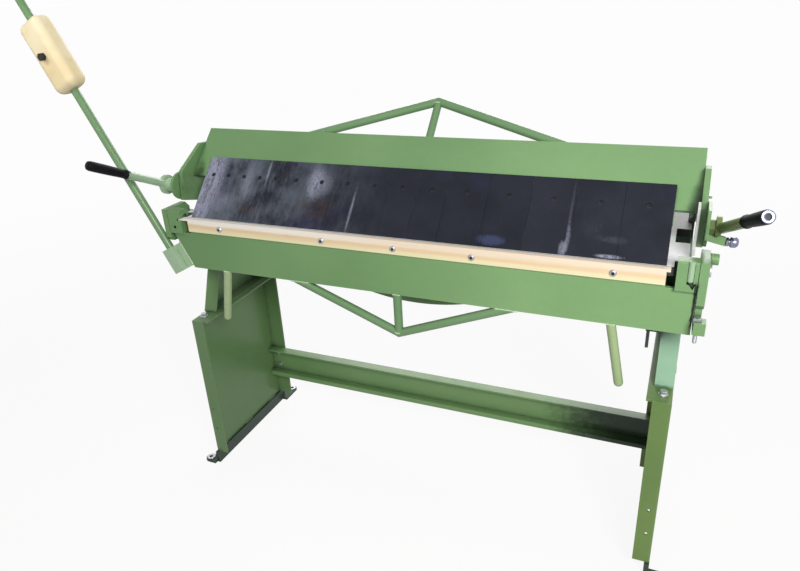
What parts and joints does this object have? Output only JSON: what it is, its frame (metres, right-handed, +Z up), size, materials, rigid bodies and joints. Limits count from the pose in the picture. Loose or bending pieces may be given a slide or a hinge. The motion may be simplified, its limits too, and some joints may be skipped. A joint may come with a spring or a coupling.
{
  "type": "box and pan brake",
  "caption": "Floor-standing sheet metal bending brake: legs, bed, hinged apron with truss and counterweight, lifting clamping leaf with removable fingers and end clamp handles.",
  "frame": {"origin": "on the floor, midway between the two front anchor holes", "axes": "+X along the bend line towards the adjusting screw end, +Y towards the back of the machine, +Z up"},
  "size_m": [1.851, 0.598, 1.471],
  "materials": {
    "green_paint": "glossy machine green enamel over sheet and bar steel",
    "bare_steel": "ground bare steel with fine straight grain",
    "blued_steel": "dark oiled tool steel with scuffs",
    "bar_steel": "warm pale machined steel",
    "cream_paint": "satin cream paint over cast iron",
    "fastener_steel": "zinc plated fasteners",
    "grip_rubber": "black moulded grip",
    "chrome": "polished plating",
    "dark_metal": "dark painted fittings"
  },
  "bodies": {
    "stand": {"leg_left": "green_paint", "leg_right": "green_paint", "foot_left": "green_paint", "foot_right": "green_paint", "anchor_washers": "fastener_steel", "stretcher": "green_paint", "stretcher_bolts": "fastener_steel", "upper_frame_left": "green_paint", "upper_frame_right": "green_paint", "ledge_bolts": "fastener_steel", "leaf_pivot_pins": "fastener_steel", "bed_plate": "bare_steel", "bed_front_beam": "green_paint", "bed_rear_beam": "green_paint", "bed_belly_plate": "green_paint", "hinge_cheek_left": "green_paint", "hinge_cheek_right": "green_paint", "hinge_pins": "fastener_steel", "rest_bracket": "dark_metal", "cheek_boss": "green_paint"},
    "adjusting_screw": {"adjusting_screw": "fastener_steel"},
    "rest_lever": {"rest_lever": "dark_metal"},
    "apron": {"apron_plate": "green_paint", "apron_rib": "green_paint", "bend_bar": "bar_steel", "bend_bar_screws": "fastener_steel", "apron_ear_left": "green_paint", "apron_ear_right": "green_paint", "apron_ear_stud": "green_paint", "lower_truss_bars": "green_paint", "lower_truss_strut": "green_paint", "apron_handles": "green_paint", "counterweight_socket": "green_paint", "counterweight_rod": "green_paint"},
    "counterweight": {"counterweight": "cream_paint"},
    "counterweight_screw": {"counterweight_screw": "fastener_steel"},
    "leaf": {"leaf_plate": "green_paint", "leaf_rib": "green_paint", "leaf_end_left": "green_paint", "leaf_end_right": "green_paint", "leaf_end_bolts": "fastener_steel", "leaf_wear_strip": "bare_steel", "upper_truss_bars": "green_paint", "upper_truss_anchors": "green_paint", "upper_truss_strut": "green_paint", "fingers_two_inch": "blued_steel", "fingers_three_inch": "blued_steel", "fingers_four_inch": "blued_steel", "finger_bolts": "fastener_steel", "clamp_pins": "fastener_steel", "clamp_discs": "green_paint", "clamp_fork": "green_paint", "clamp_knob": "chrome"},
    "clamp_left": {"clamp_arm_left": "green_paint", "clamp_grip_left": "grip_rubber"},
    "clamp_right": {"clamp_arm_right": "green_paint", "clamp_grip_right": "grip_rubber", "clamp_cap_right": "chrome"}
  },
  "joints": [
    {"name": "apron_hinge", "type": "hinge", "parent": "stand", "child": "apron", "pos_m": [0, 0.031, 0.822], "axis": [-1, 0, 0], "range_deg": [0, 135]},
    {"name": "weight_slide", "type": "slide", "parent": "apron", "child": "counterweight", "axis": [-0.4566, 0, 0.8897], "range_m": [-0.15, 0.12]},
    {"name": "weight_screw_turn", "type": "hinge", "parent": "counterweight", "child": "counterweight_screw", "pos_m": [-0.96074, -0.009, 1.24792], "axis": [0, -1, 0], "continuous": true},
    {"name": "leaf_lift", "type": "hinge", "parent": "stand", "child": "leaf", "pos_m": [0, 0.331, 0.838], "axis": [-1, 0, 0], "range_deg": [0, 6]},
    {"name": "left_clamp_turn", "type": "hinge", "parent": "leaf", "child": "clamp_left", "pos_m": [-0.7, 0.089, 0.8915], "axis": [-1, 0, 0], "range_deg": [0, 90]},
    {"name": "right_clamp_turn", "type": "hinge", "parent": "leaf", "child": "clamp_right", "pos_m": [0.69, 0.089, 0.8915], "axis": [-1, 0, 0], "range_deg": [0, 90]},
    {"name": "adjusting_screw_turn", "type": "hinge", "parent": "stand", "child": "adjusting_screw", "pos_m": [0.681, 0.011, 0.703], "axis": [0, 0, 1], "continuous": true},
    {"name": "rest_lever_swing", "type": "hinge", "parent": "stand", "child": "rest_lever", "pos_m": [0.588, 0.097, 0.64], "axis": [1, 0, 0], "range_deg": [-40, 40]}
  ],
  "couplings": [
    {"joint": "left_clamp_turn", "follows": "leaf_lift", "ratio": 15},
    {"joint": "right_clamp_turn", "follows": "leaf_lift", "ratio": 15}
  ]
}
